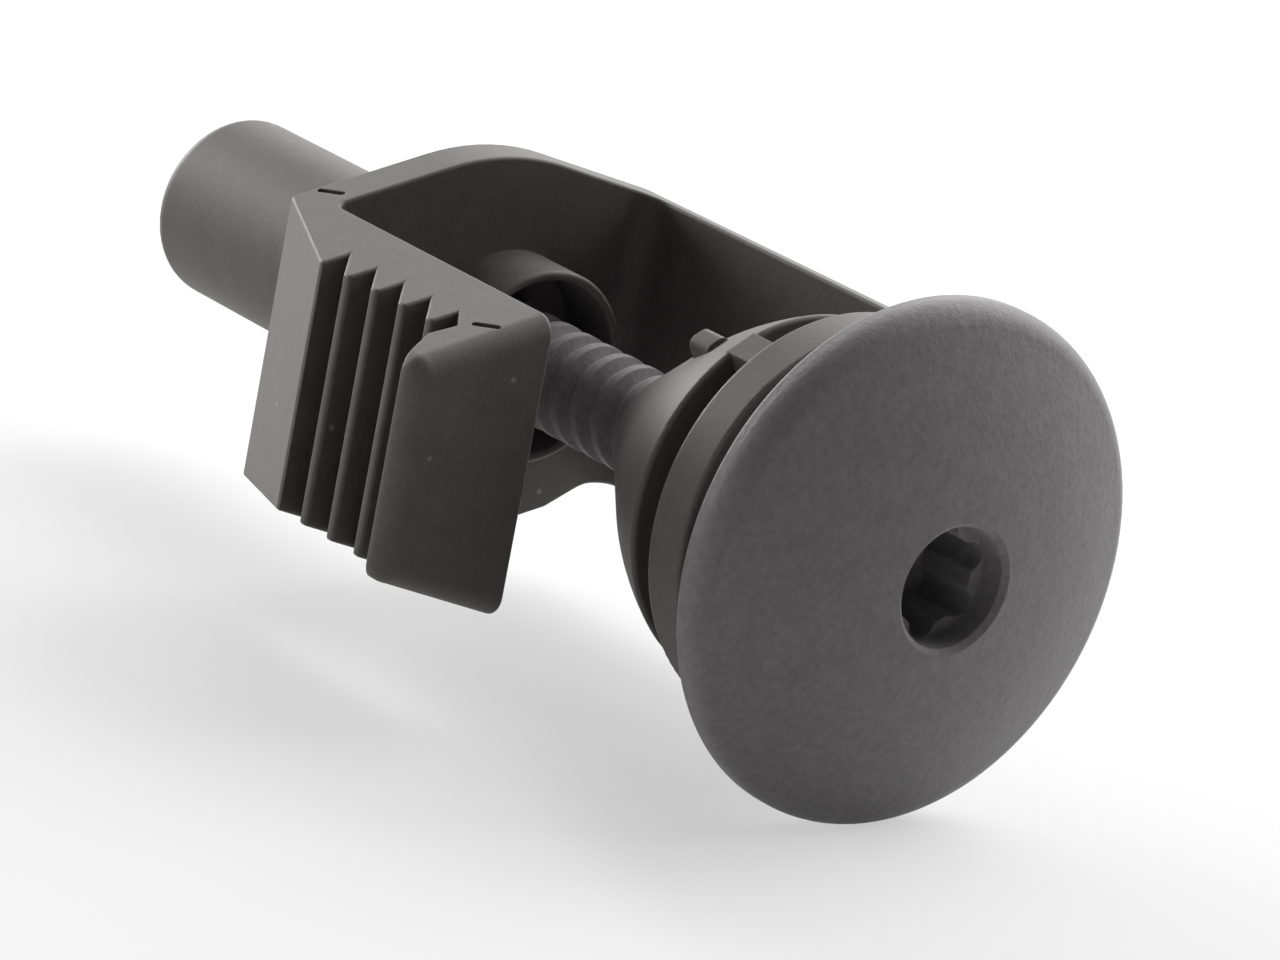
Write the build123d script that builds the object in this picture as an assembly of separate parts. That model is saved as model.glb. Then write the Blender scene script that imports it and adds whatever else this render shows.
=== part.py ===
from build123d import *

import os
from math import atan, cos, sin

# Radiator mount retainer, in millimetres.
# X runs along the common axis of pin, boss, collar and screw, towards the screw head.
# The origin is where that axis meets the shoulder behind the pin. +Z is up, and the
# snap arm with its teeth is on the -Y side.

# pin
pin_radius = 7.2
pin_length = 32.0
pin_end_round = 1.3

# yoke section, seen along the axis: two sloping roofs with a round crest, same below
crest_y = -2.0
crest_height = 15.3
snap_side_slope = 0.283
guide_side_slope = 0.26
crest_round = 20.0
step_start_y = 7.4
step_width = 3.5
step_rise = 0.9
step_round = 2.0

# yoke base
base_thickness = 3.5
snap_root_round = 0.9
guide_root_round = 2.2
base_corner_round = 0.6

# snap arm, distances from the axis
snap_inner = 17.0
snap_outer_at_root = 18.5
ramp_length = 11.1
ramp_outer = 23.4
tooth_pitch = 3.3
tooth_depth = 2.2
tooth_land = 0.7
tooth_count = 4
nose_foot_length = 1.9
nose_foot_rise = 1.35
nose_back_lean = 0.3
nose_back_outer = 24.8
nose_slope_length = 2.1
nose_outer = 28.2
nose_land = 1.7
nose_round = 1.5
nose_edge_round = 1.5
shoulder_corner_round = 0.4
tooth_round = 0.3
rim_round = 0.25

# guide arm
guide_outer = 14.3
guide_thickness = 2.3
guide_end_round = 1.0
guide_lower_edge = 9.9
guide_notch_start = 1.2
guide_notch_round = 2.5

# shallow ejector marks on the snap arm's two roofs
mark_length = 2.2
mark_width = 0.6
mark_depth = 0.3
mark_turn = 29.0
nose_mark_from_front = 2.2
nose_mark_from_inner = 4.2
root_mark_from_shoulder = 1.4
root_mark_from_inner = 0.9

# boss
boss_radius = 7.45
boss_wall = 0.75
boss_length = 5.2
boss_floor = 0.6
boss_edge_round = 0.35

# screw
shank_radius = 3.95
thread_radius = 3.93
thread_root_radius = 3.15
thread_sunk = 0.25
thread_pitch = 2.5
thread_crest_width = 0.8
thread_root_width = 1.9
tip_depth = 10.0
tip_chamfer = 0.5
head_radius = 19.0
head_rim = 2.4
head_dome = 4.3
head_edge_round = 2.2
head_back_round = 0.35
neck_radius = 11.5
neck_length = 4.3
arms_to_head = 19.9

# drive socket in the head
socket_lobes = 6
socket_turn = 26.0
socket_radius = 4.4
socket_lobe_radius = 1.1
socket_core_radius = 3.4
socket_flank_round = 0.6
socket_recess = 2.6
socket_depth = 7.6
socket_chamfer = 0.4

# collar
ring_radius = 15.1
ring_thickness = 3.7
ring_edge_round = 0.4
groove_width = 3.3
groove_radius = 10.6
flange_radius = 13.8
flange_edge_round = 0.3
bell_length = 14.15
bell_mouth_wall = 0.77
bell_shoulder_back = 6.8
bell_shoulder_radius = 10.1
web_angle = 121.0
web_width = 2.5
web_inset = 0.15
lug_angle = 121.0
lug_back = 5.6
lug_length = 2.0
lug_width = 2.0
lug_top = 12.5
lug_round = 0.7
lug_eye_radius = 0.45

# clearances
thread_clearance = 0.06
shank_clearance = 0.08
face_clearance = 0.3
guide_clearance = 0.3

# how far screw and collar go in from the modelled place
travel_in = 10.0

# how far a cutting shape runs past what it cuts, and a joined one into what it joins
past = 1.0

# places along the axis that follow from the sizes above
teeth_start = ramp_length + tooth_land / 2
nose_start = teeth_start + tooth_count * tooth_pitch
nose_peak = nose_start + nose_foot_length - nose_back_lean + nose_slope_length
nose_front = nose_peak + nose_land
boss_rim = base_thickness + boss_length
head_back = nose_front + arms_to_head
ring_front = head_back - neck_length - face_clearance
ring_back = ring_front - ring_thickness
flange_front = ring_back - groove_width
bell_mouth = flange_front - bell_length
bell_mouth_radius = shank_radius + shank_clearance + bell_mouth_wall
guide_inner = guide_outer - guide_thickness
guide_end = head_back - travel_in - face_clearance
screw_tip = -tip_depth
bore_end = screw_tip - travel_in - 2 * face_clearance

along_axis = Plane.YZ


def disc(radius, start, end):
    """Solid cylinder on the axis between two places along it."""
    return extrude(along_axis.offset(start) * Circle(radius), end - start)


def turned(points):
    """Solid turned about the axis from (place, radius) points."""
    outline = Polyline([(x, 0, r) for x, r in points], close=True)
    return revolve(make_face(outline), Axis.X, 360)


def roof_height(y):
    """Height of the sloping roof above the axis plane, away from the crest."""
    slope = snap_side_slope if y < crest_y else guide_side_slope
    return crest_height - slope * abs(y - crest_y)


def roof_prism(start, end):
    """The yoke's section carried along the axis, with a step low on the guide side."""
    near_y, far_y = -(nose_outer + past), guide_outer + past
    step_end_y = step_start_y + step_width
    corners = [
        (near_y, roof_height(near_y)), (crest_y, crest_height), (far_y, roof_height(far_y)),
        (far_y, step_rise - roof_height(far_y)), (step_end_y, step_rise - roof_height(step_end_y)),
        (step_start_y, -roof_height(step_start_y)), (crest_y, -crest_height),
        (near_y, -roof_height(near_y))]
    section = make_face(Polyline(corners, close=True))
    rounds = [((crest_y, crest_height), crest_round), ((crest_y, -crest_height), crest_round),
              ((step_start_y, -roof_height(step_start_y)), step_round),
              ((step_end_y, step_rise - roof_height(step_end_y)), step_round)]
    for (y, z), radius in rounds:
        section = fillet(section.vertices().sort_by_distance((y, z, 0))[0], radius)
    return extrude(along_axis.offset(start) * section, end - start)


def snap_arm_outline():
    """Outer edge of the snap arm in plan, from the shoulder to the nose's front."""
    points = [(0, -snap_outer_at_root), (ramp_length, -ramp_outer), (teeth_start, -ramp_outer)]
    for tooth in range(tooth_count):
        start = teeth_start + tooth * tooth_pitch
        points.append((start, -(ramp_outer - tooth_depth)))
        points.append((start + tooth_pitch - tooth_land, -ramp_outer))
        points.append((start + tooth_pitch, -ramp_outer))
    nose_foot = nose_start + nose_foot_length
    tooth_floor = ramp_outer - tooth_depth
    points.append((nose_start, -tooth_floor))
    points.append((nose_foot, -(tooth_floor + nose_foot_rise)))
    points.append((nose_foot - nose_back_lean, -nose_back_outer))
    points.append((nose_peak, -nose_outer))
    points.append((nose_front, -nose_outer))
    return points


def yoke_plan():
    """Plan of base and both arms, with its upright corners rounded."""
    points = snap_arm_outline() + [
        (nose_front, -snap_inner), (base_thickness, -snap_inner),
        (base_thickness, guide_inner), (guide_end, guide_inner),
        (guide_end, guide_outer), (0, guide_outer)]
    plan = make_face(Polyline(points, close=True))
    rounds = [
        ((nose_front, -nose_outer), nose_round),
        ((0, -snap_outer_at_root), shoulder_corner_round),
        ((base_thickness, -snap_inner), snap_root_round),
        ((base_thickness, guide_inner), guide_root_round),
        ((guide_end, guide_inner), guide_end_round),
        ((guide_end, guide_outer), guide_end_round),
        ((0, guide_outer), base_corner_round)]
    for tooth in range(tooth_count):
        tip = teeth_start + (tooth + 1) * tooth_pitch
        rounds.append(((tip, -ramp_outer), tooth_round))
        rounds.append(((tip - tooth_land, -ramp_outer), tooth_round))
    for (x, y), radius in rounds:
        corner = plan.vertices().sort_by_distance((x, y, 0))[0]
        plan = fillet(corner, radius)
    return plan


def make_yoke():
    """Base and both arms, with soft edges where the walls meet the two roofs."""
    plan = yoke_plan()
    yoke = extrude(plan, crest_height + past, both=True) & roof_prism(-past, guide_end + past)
    front = yoke.faces().filter_by(Axis.X).sort_by_distance((nose_front, -snap_inner, 0))[0]
    yoke = fillet(front.edges().filter_by(Axis.Z, reverse=True), nose_edge_round)
    outline = plan.face().outer_wire()
    rims = []
    for edge in yoke.edges().filter_by(Axis.Z, reverse=True):
        middle = edge @ 0.5
        behind_nose = middle.X < nose_start - rim_round or middle.Y > -(snap_inner + rim_round)
        if behind_nose and outline.distance_to(Vertex(middle.X, middle.Y, 0)) < rim_round / 10:
            rims.append(edge)
    return fillet(rims, rim_round)


def guide_notch():
    """Cut that lifts the guide arm's lower edge, with a round inner corner."""
    depth = 2 * crest_height
    start = base_thickness + guide_notch_start
    outline = make_face(Polyline(
        (start, -guide_lower_edge), (guide_end + past, -guide_lower_edge),
        (guide_end + past, -depth), (start, -depth), close=True))
    corner = outline.vertices().sort_by_distance((start, -guide_lower_edge, 0))[0]
    outline = fillet(corner, guide_notch_round)
    return extrude(Plane.XZ.offset(-guide_outer - past) * outline, guide_outer - step_start_y)


def ejector_mark(x, y, turn):
    """Shallow slot with round ends, sunk square to the snap side's upper roof."""
    slope = atan(snap_side_slope)
    seat = Plane(origin=(x, y, roof_height(y)), x_dir=(1, 0, 0), z_dir=(0, -sin(slope), cos(slope)))
    return extrude(seat * Rot(0, 0, turn) * SlotOverall(mark_length, mark_width), mark_depth, both=True)


def make_body():
    """Pin, yoke and boss: one moulding."""
    body = make_yoke()
    pin = disc(pin_radius, -pin_length, past)
    pin = fillet(pin.edges().sort_by(Axis.X)[0], pin_end_round)
    body += pin
    hollow = disc(boss_radius - boss_wall, base_thickness - boss_floor, boss_rim)
    boss = disc(boss_radius, base_thickness - past, boss_rim) - hollow
    body += fillet(boss.edges().group_by(Axis.X)[-1], boss_edge_round)
    body -= hollow
    body -= disc(thread_radius + thread_clearance, bore_end, boss_rim)
    body -= guide_notch()
    body -= ejector_mark(nose_front - nose_mark_from_front, -(snap_inner + nose_mark_from_inner), mark_turn)
    body -= ejector_mark(root_mark_from_shoulder, -(snap_inner - root_mark_from_inner), mark_turn)
    return body


def make_collar():
    """Bell, groove and ring in one, with webs, a lug and a flat for the guide arm."""
    mouth = (bell_mouth, bell_mouth_radius)
    shoulder = (flange_front - bell_shoulder_back, bell_shoulder_radius)
    rim = (flange_front, flange_radius)
    slope = Vector(shoulder[0] - mouth[0], 0, shoulder[1] - mouth[1])
    cone_line = Line((mouth[0], 0, mouth[1]), (shoulder[0], 0, shoulder[1]))
    crown = TangentArc((shoulder[0], 0, shoulder[1]), (rim[0], 0, rim[1]), tangent=slope)
    closing = Polyline(
        (rim[0], 0, rim[1]), (flange_front, 0, 0), (bell_mouth, 0, 0), (mouth[0], 0, mouth[1]))
    half = make_face([cone_line, crown, closing])
    half = fillet(half.vertices().sort_by_distance((rim[0], 0, rim[1]))[0], flange_edge_round)
    bell = revolve(half, Axis.X, 360)
    ring = disc(ring_radius, ring_back, ring_front)
    ring = fillet(ring.edges().filter_by(GeomType.CIRCLE), ring_edge_round)
    collar = bell + disc(groove_radius, flange_front - past, ring_back + past) + ring
    web_outer = flange_radius - web_inset
    for angle in (web_angle, web_angle + 180):
        web = Box(groove_width + past, web_outer - groove_radius + past, web_width,
                  align=(Align.MIN, Align.MIN, Align.CENTER))
        web = Pos(flange_front - past / 2, groove_radius - past, 0) * web
        collar += Rot(angle, 0, 0) * web
    collar += make_lug()
    collar -= disc(shank_radius + shank_clearance, bell_mouth - past, ring_front + past)
    flat = guide_inner - guide_clearance
    keep_out = Box(ring_front - bell_mouth + 2 * past, ring_radius, 2 * (ring_radius + past),
                   align=(Align.MIN, Align.MIN, Align.CENTER))
    return collar - Pos(bell_mouth - past, flat, 0) * keep_out


def make_lug():
    """Small round-topped lug standing on the bell, with a blind eye."""
    lug = Box(lug_length, lug_top - bell_mouth_radius, lug_width,
              align=(Align.MIN, Align.MIN, Align.CENTER))
    back = flange_front - lug_back
    lug = Pos(back, bell_mouth_radius, 0) * lug
    upper = lug.edges().filter_by(Axis.X).group_by(Axis.Y)[-1]
    lug = fillet(upper, lug_round)
    front = Plane.YZ.offset(back + lug_length / 2)
    eye = extrude(front * Pos(lug_top - lug_width / 2, 0) * Circle(lug_eye_radius), lug_length)
    return Rot(lug_angle, 0, 0) * (lug - eye)


def drive_socket():
    """Six-lobed blind socket below a round recess with a chamfered mouth."""
    crown = head_back + head_rim + head_dome
    lobes = Circle(socket_core_radius)
    lobe_place = Pos(socket_radius - socket_lobe_radius, 0)
    for lobe in range(socket_lobes):
        turn = socket_turn + 360 / socket_lobes * lobe
        lobes += Rot(0, 0, turn) * lobe_place * Circle(socket_lobe_radius)
    half_out = (socket_core_radius + socket_radius) / 2
    inner = [corner for corner in lobes.vertices() if Vector(corner).length < half_out]
    lobes = fillet(inner, socket_flank_round)
    hole = extrude(Plane.YZ.offset(crown - socket_depth) * lobes, socket_depth)
    hole += disc(socket_radius, crown - socket_recess, crown + past)
    mouth_radius = socket_radius + socket_chamfer
    mouth_x = crown - mouth_radius ** 2 * head_dome / head_radius ** 2
    mouth_top = mouth_x + past
    mouth = turned([(mouth_x - mouth_radius, 0), (mouth_top, 0), (mouth_top, mouth_radius + past)])
    return hole + mouth


def screw_thread(start, end):
    """Right-handed ridge wound round the threaded end, its foot sunk in the core."""
    helix = Helix(thread_pitch, end - start, thread_root_radius, center=(start, 0, 0), direction=(1, 0, 0))
    foot = helix @ 0
    outward = Vector(0, foot.Y, foot.Z).normalized()
    seat = Plane(origin=foot, x_dir=outward, z_dir=outward.cross(Vector(1, 0, 0)))
    height = thread_radius - thread_root_radius
    flank = (thread_root_width - thread_crest_width) / 2 / height
    foot_half = thread_root_width / 2 + flank * thread_sunk
    section = seat * make_face(Polyline(
        (-thread_sunk, -foot_half), (height, -thread_crest_width / 2),
        (height, thread_crest_width / 2), (-thread_sunk, foot_half), close=True))
    return sweep(section, path=helix, is_frenet=True)


def screw_head():
    """Domed head, turned from its half section."""
    rim_front = head_back + head_rim
    crown = rim_front + head_dome
    dome_radius = (head_radius ** 2 + head_dome ** 2) / (2 * head_dome)
    half_way = head_radius / 2
    half_way_x = crown - dome_radius + (dome_radius ** 2 - half_way ** 2) ** 0.5
    face = ThreePointArc((rim_front, head_radius), (half_way_x, half_way), (crown, 0))
    back = Polyline((crown, 0), (head_back, 0), (head_back, head_radius), (rim_front, head_radius))
    section = make_face([face, back])
    for place, radius in (((rim_front, head_radius), head_edge_round),
                          ((head_back, head_radius), head_back_round)):
        section = fillet(section.vertices().sort_by_distance((*place, 0))[0], radius)
    return revolve(section, Axis.X, 360)


def make_screw():
    """Domed head with drive socket, neck, plain shank and threaded end."""
    room = thread_radius + thread_sunk
    lead_in = disc(room, screw_tip, bell_mouth)
    lead_in = chamfer(lead_in.edges().sort_by(Axis.X)[0], room - thread_root_radius)
    ridge = screw_thread(screw_tip, bell_mouth + thread_pitch / 2) & lead_in
    core = disc(thread_root_radius, screw_tip, bell_mouth)
    core = chamfer(core.edges().sort_by(Axis.X)[0], tip_chamfer)
    screw = core + disc(shank_radius, bell_mouth, head_back) + ridge
    screw += disc(neck_radius, head_back - neck_length, head_back + past)
    return screw + screw_head() - drive_socket()


def main():
    os.makedirs("parts", exist_ok=True)
    parts = {
        "retainer_body": make_body(),
        "guide_collar": make_collar(),
        "drive_screw": make_screw(),
    }
    for name, shape in parts.items():
        export_step(shape, f"parts/{name}.step")


main()
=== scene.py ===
from math import cos, radians, sin

import bpy
from mathutils import Matrix, Vector


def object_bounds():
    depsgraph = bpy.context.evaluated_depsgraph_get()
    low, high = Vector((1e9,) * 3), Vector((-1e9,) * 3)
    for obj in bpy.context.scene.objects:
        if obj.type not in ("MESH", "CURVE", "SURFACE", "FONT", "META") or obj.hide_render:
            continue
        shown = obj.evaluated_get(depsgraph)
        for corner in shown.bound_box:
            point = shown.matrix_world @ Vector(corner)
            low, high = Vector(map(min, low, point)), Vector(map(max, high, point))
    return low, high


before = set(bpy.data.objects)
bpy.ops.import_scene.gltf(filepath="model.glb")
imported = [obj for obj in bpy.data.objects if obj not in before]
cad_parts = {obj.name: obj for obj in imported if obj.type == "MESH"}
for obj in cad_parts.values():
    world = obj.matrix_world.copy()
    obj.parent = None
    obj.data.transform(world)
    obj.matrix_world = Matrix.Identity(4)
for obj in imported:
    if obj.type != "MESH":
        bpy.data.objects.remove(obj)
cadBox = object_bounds()
millimetre = 0.001
perMetre = 1 / millimetre
print("frame loaded")


# shader maths, written as plain maths on sockets
class Wire:
    def __init__(self, paint, socket):
        self.paint = paint
        self.socket = socket

    def maths(self, operation, first, second):
        return self.paint.add("ShaderNodeMath", {"operation": operation}, {0: first, 1: second})

    def __add__(self, other):
        return self.maths("ADD", self, other)

    def __radd__(self, other):
        return self.maths("ADD", other, self)

    def __sub__(self, other):
        return self.maths("SUBTRACT", self, other)

    def __rsub__(self, other):
        return self.maths("SUBTRACT", other, self)

    def __mul__(self, other):
        return self.maths("MULTIPLY", self, other)

    def __rmul__(self, other):
        return self.maths("MULTIPLY", other, self)

    def larger(self, other):
        return self.maths("MAXIMUM", self, other)


class Paint:
    def __init__(self, owner, output="ShaderNodeOutputMaterial"):
        owner.use_nodes = True
        self.tree = owner.node_tree
        self.tree.nodes.clear()
        self.output = self.tree.nodes.new(output)

    # settings are set first; a pair of stops goes to a ramp
    def add(self, kind, settings, inputs, out=0):
        node = self.tree.nodes.new(kind)
        for name, value in settings.items():
            if name == "stops":
                ramp = node.color_ramp.elements
                for element, (place, colour) in zip(ramp, value):
                    element.position = place
                    element.color = colour
            else:
                setattr(node, name, value)
        for name, value in inputs.items():
            if isinstance(value, Wire):
                self.tree.links.new(value.socket, node.inputs[name])
            else:
                node.inputs[name].default_value = value
        return Wire(self, node.outputs[out])

    def blend(self, first, second, share):
        return self.add("ShaderNodeMix", {"data_type": "RGBA"}, {0: share, 6: first, 7: second}, 2)

    # 1 where the rounded normal turns well away from the face, as it does on a sharp edge
    def edges(self, rounded, gain):
        face = self.add("ShaderNodeNewGeometry", {}, {}, "Normal")
        meet = self.add("ShaderNodeVectorMath", {"operation": "DOT_PRODUCT"},
                        {0: rounded, 1: face}, "Value")
        return self.add("ShaderNodeMath", {"operation": "MULTIPLY", "use_clamp": True},
                        {0: 1 - meet, 1: gain})

    def finish(self, surface):
        self.tree.links.new(surface.socket, self.output.inputs["Surface"])


def grey(level, tint=(1.0, 1.0, 1.0)):
    return (level * tint[0], level * tint[1], level * tint[2], 1.0)


# moulded plastic: fine grain, mottled colour, edges lightened partly by rubbing and partly by a
# painted highlight, a few pale specks of dust; sizes and depths are in millimetres
bodyLook = {
    "tint": (1.06, 0.94, 0.93),
    "darkLevel": 0.082,
    "lightLevel": 0.114,
    "darkPlace": 0.25,
    "lightPlace": 0.75,
    "mottleSize": 2.4,
    "mottleDetail": 5.0,
    "mottleRoughness": 0.82,
    "grainSize": 0.34,
    "grainDetail": 3.0,
    "grainRoughness": 0.7,
    "grainDepth": 0.022,
    "speckle": 0.80,
    "rippleSize": 3.5,
    "rippleDetail": 2.0,
    "rippleDepth": 0.02,
    "roughLow": 0.48,
    "roughHigh": 0.66,
    "mottleShare": 0.6,
    "edgeRound": 0.16,
    "edgeSamples": 6,
    "edgeGain": 12.0,
    "edgeWearAndHighlight": 0.4,
    "wornAndHighlightLevel": 0.20,
    "dustSpacing": 6.0,
    "dustReach": 0.05,
    "dustLevel": 0.22,
    "bloom": 0.06,
    "bloomRoughness": 0.6,
    "shine": 0.3,
    "ior": 1.48,
}
collarLook = dict(bodyLook, rippleSize=2.6)
screwLook = dict(bodyLook, tint=(1.03, 0.97, 1.0), darkLevel=0.138, lightLevel=0.196, wornAndHighlightLevel=0.24,
                 mottleSize=2.0, grainSize=0.56, grainDepth=0.06, speckle=1.04,
                 roughLow=0.50, roughHigh=0.68, bloom=0.30)


def mouldedPlastic(name, values):
    material = bpy.data.materials.new(name)
    paint = Paint(material)
    place = paint.add("ShaderNodeTexCoord", {}, {}, "Object")
    mottle = paint.add("ShaderNodeTexNoise", {}, {
        "Vector": place, "Scale": perMetre / values["mottleSize"],
        "Detail": values["mottleDetail"], "Roughness": values["mottleRoughness"]})
    ripple = paint.add("ShaderNodeTexNoise", {}, {
        "Vector": place, "Scale": perMetre / values["rippleSize"], "Detail": values["rippleDetail"]})
    grain = paint.add("ShaderNodeTexNoise", {}, {
        "Vector": place, "Scale": perMetre / values["grainSize"],
        "Detail": values["grainDetail"], "Roughness": values["grainRoughness"]})
    noiseMiddle = 0.5
    tone = mottle + values["speckle"] * (grain - noiseMiddle)
    colour = paint.add("ShaderNodeValToRGB", {"stops": [
        (values["darkPlace"], grey(values["darkLevel"], values["tint"])),
        (values["lightPlace"], grey(values["lightLevel"], values["tint"]))]}, {"Fac": tone})
    rounded = paint.add("ShaderNodeBevel", {"samples": values["edgeSamples"]},
                        {"Radius": values["edgeRound"] * millimetre})
    # painted highlight: the edges are lightened in colour, partly as rubbed wear and partly as a
    # painted edge highlight
    rubbedAndHighlit = values["edgeWearAndHighlight"] * (paint.edges(rounded, values["edgeGain"]) * grain)
    colour = paint.blend(colour, grey(values["wornAndHighlightLevel"], values["tint"]), rubbedAndHighlit)
    colour = paint.blend(colour, grey(values["dustLevel"]), dustSpecks(paint, place, values))
    roughSpan = values["roughHigh"] - values["roughLow"]
    share = values["mottleShare"]
    rough = values["roughLow"] + roughSpan * (share * mottle + (1 - share) * grain)
    rippled = paint.add("ShaderNodeBump", {}, {
        "Height": ripple, "Distance": values["rippleDepth"] * millimetre, "Strength": 1.0,
        "Normal": rounded})
    grained = paint.add("ShaderNodeBump", {}, {
        "Height": grain, "Distance": values["grainDepth"] * millimetre, "Strength": 1.0,
        "Normal": rippled})
    paint.finish(paint.add("ShaderNodeBsdfPrincipled", {}, {
        "Base Color": colour, "Roughness": rough, "IOR": values["ior"],
        "Specular IOR Level": values["shine"], "Sheen Weight": values["bloom"],
        "Sheen Roughness": values["bloomRoughness"], "Normal": grained}))
    return material


# a speck shows where a cell's middle lies close to the surface
def dustSpecks(paint, place, values):
    cells = paint.add("ShaderNodeTexVoronoi", {}, {
        "Vector": place, "Scale": perMetre / values["dustSpacing"]})
    return paint.add("ShaderNodeValToRGB", {"stops": [
        (values["dustReach"] / 2, grey(1.0)), (values["dustReach"], grey(0.0))]}, {"Fac": cells})


def dress(node, material):
    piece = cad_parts[node]
    for slot in piece.material_slots:
        slot.material = material


dress("retainer_body", mouldedPlastic("bodyPlastic", bodyLook))
dress("guide_collar", mouldedPlastic("collarPlastic", collarLook))
dress("drive_screw", mouldedPlastic("screwPlastic", screwLook))
print("plastic on")

# the level floor just under the head's rim, and the white room round it: floorHalf and the
# fades are in metres, floorDrop is in millimetres
room = {
    "floorHalf": 3.0,
    "floorDrop": 0.02,
    "bounceLevel": 0.78,
    "seenLevel": 0.39,
    "seenGlow": 0.54,
    "farGlow": 1.0,
    "fadeStart": 0.12,
    "fadeEnd": 0.40,
    "roomLight": 0.03,
    "skyGlow": 1.0,
}


# the floor as it lights the part, and as the camera and reflections see it: white far off
def floorPaper(values):
    material = bpy.data.materials.new("floorPaper")
    paint = Paint(material)
    bounce = paint.add("ShaderNodeBsdfDiffuse", {}, {"Color": grey(values["bounceLevel"])})
    paper = paint.add("ShaderNodeBsdfDiffuse", {}, {"Color": grey(values["seenLevel"])})
    glow = paint.add("ShaderNodeEmission", {}, {"Strength": values["seenGlow"]})
    near = paint.add("ShaderNodeAddShader", {}, {0: paper, 1: glow})
    far = paint.add("ShaderNodeEmission", {}, {"Strength": values["farGlow"]})
    place = paint.add("ShaderNodeTexCoord", {}, {}, "Object")
    away = paint.add("ShaderNodeVectorMath", {"operation": "LENGTH"}, {0: place}, "Value")
    fade = paint.add("ShaderNodeMapRange", {}, {
        "Value": away, "From Min": values["fadeStart"], "From Max": values["fadeEnd"]})
    shown = paint.add("ShaderNodeMixShader", {}, {0: fade, 1: near, 2: far})
    paint.finish(paint.add("ShaderNodeMixShader", {}, {0: rayIsSeen(paint), 1: bounce, 2: shown}))
    return material


def levelFloor(values):
    low = cadBox[0][2] - values["floorDrop"] * millimetre
    bpy.ops.mesh.primitive_plane_add(size=2 * values["floorHalf"], location=(0, 0, low))
    floor = bpy.context.active_object
    floor.name = "floor"
    floor.data.transform(floor.matrix_world)
    floor.matrix_world = Matrix.Identity(4)
    floor.data.materials.append(floorPaper(values))


def whiteSky(values):
    world = bpy.data.worlds.new("whiteRoom")
    bpy.context.scene.world = world
    sky = Paint(world, "ShaderNodeOutputWorld")
    light = sky.add("ShaderNodeBackground", {}, {
        "Color": grey(1.0), "Strength": values["roomLight"]})
    white = sky.add("ShaderNodeBackground", {}, {
        "Color": grey(1.0), "Strength": values["skyGlow"]})
    sky.finish(sky.add("ShaderNodeMixShader", {}, {0: rayIsSeen(sky), 1: light, 2: white}))


def rayIsSeen(paint):
    camera = paint.add("ShaderNodeLightPath", {}, {}, "Is Camera Ray")
    glossy = paint.add("ShaderNodeLightPath", {}, {}, "Is Glossy Ray")
    clear = paint.add("ShaderNodeLightPath", {}, {}, "Is Transmission Ray")
    return camera.larger(glossy).larger(clear)


levelFloor(room)
whiteSky(room)
print("room built")

# soft round lamps, most of them behind the part: degrees round from +X, degrees up,
# width in metres and power in watts
lamps = {
    "backRightLamp": {"round": 120, "up": 42, "width": 0.9, "power": 6.2},
    "backLamp": {"round": 187, "up": 14, "width": 0.38, "power": 7.4},
    "rightLamp": {"round": 88, "up": 38, "width": 0.8, "power": 5.8},
    "leftLamp": {"round": 236, "up": 15, "width": 0.4, "power": 1.1},
}
lampRing = {"distance": 0.85, "aim": (0.015, 0.0, 0.0)}


def softLamp(name, values, ring):
    light = bpy.data.lights.new(name, "AREA")
    light.shape = "DISK"
    light.size = values["width"]
    light.energy = values["power"]
    lamp = bpy.data.objects.new(name, light)
    turn, lift = radians(values["round"]), radians(values["up"])
    away = Vector((cos(turn) * cos(lift), sin(turn) * cos(lift), sin(lift)))
    lamp.location = Vector(ring["aim"]) + ring["distance"] * away
    lamp.rotation_euler = (-away).to_track_quat("-Z", "Y").to_euler()
    bpy.context.scene.collection.objects.link(lamp)


for name, values in lamps.items():
    softLamp(name, values, lampRing)
print("lamps lit")

# the photograph's view: a long lens, rolled a little, looking down past the head
view = {
    "place": (0.34607, -0.27988, 0.11741),
    "forward": (-0.7279, 0.6290, -0.2728),
    "right": (0.6026, 0.7768, 0.1832),
    "lens": 174.2,
    "sensor": 36.0,
    "nearest": 0.01,
}


def photoCamera(values):
    camera = bpy.data.objects.new("photoCamera", bpy.data.cameras.new("photoCamera"))
    camera.data.lens = values["lens"]
    camera.data.sensor_width = values["sensor"]
    camera.data.clip_start = values["nearest"]
    forward = Vector(values["forward"]).normalized()
    right = Vector(values["right"])
    right = (right - forward * right.dot(forward)).normalized()
    up = right.cross(forward)
    turned = Matrix((right, up, -forward)).transposed().to_4x4()
    camera.matrix_world = Matrix.Translation(values["place"]) @ turned
    bpy.context.scene.collection.objects.link(camera)
    bpy.context.scene.camera = camera


photoCamera(view)
bpy.context.scene.view_settings.view_transform = "Standard"
print("camera set")
